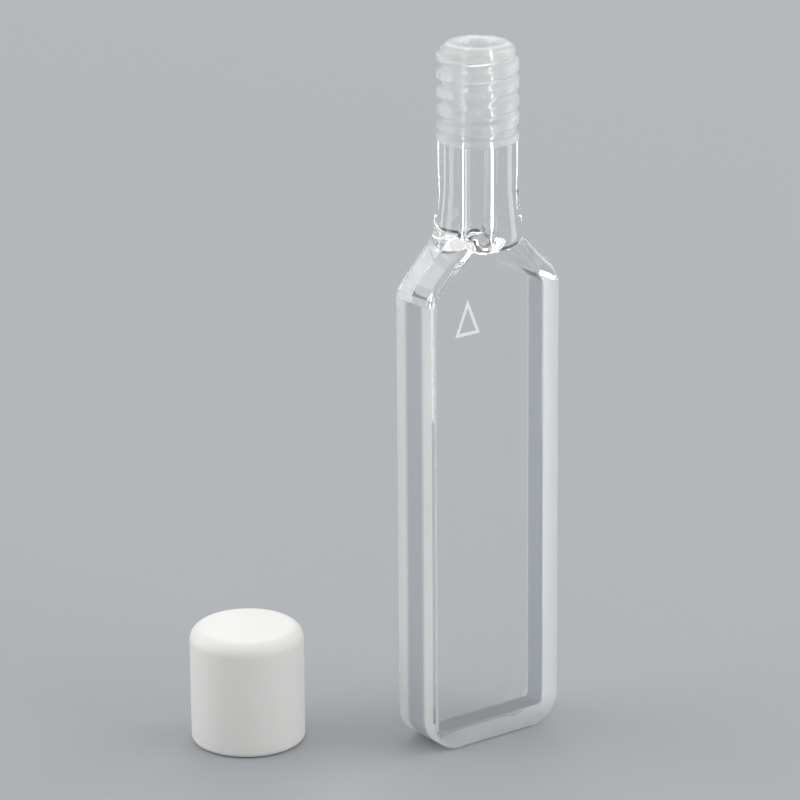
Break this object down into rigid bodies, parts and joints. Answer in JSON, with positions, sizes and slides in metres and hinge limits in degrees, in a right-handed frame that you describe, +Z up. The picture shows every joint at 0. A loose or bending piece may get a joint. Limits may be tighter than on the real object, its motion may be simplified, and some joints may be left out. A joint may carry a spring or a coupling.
{
  "type": "screw-cap cuvette",
  "caption": "Flat clear quartz cuvette with rounded foot corners, sloping shoulders and a round threaded neck, standing beside its closed white screw cap.",
  "frame": {"origin": "centre of the cell's flat foot, on the surface it stands on", "axes": "+Z up along the neck's bore, -Y out of the front window, X along the width between the ground sides"},
  "size_m": [0.0266, 0.0179, 0.0568],
  "materials": {
    "fused_quartz": "polished windows and neck, ground sides and foot",
    "turned_ptfe": "satin, turned"
  },
  "bodies": {
    "root": {"quartz_cell": "fused_quartz", "screw_cap": "turned_ptfe"}
  },
  "joints": []
}
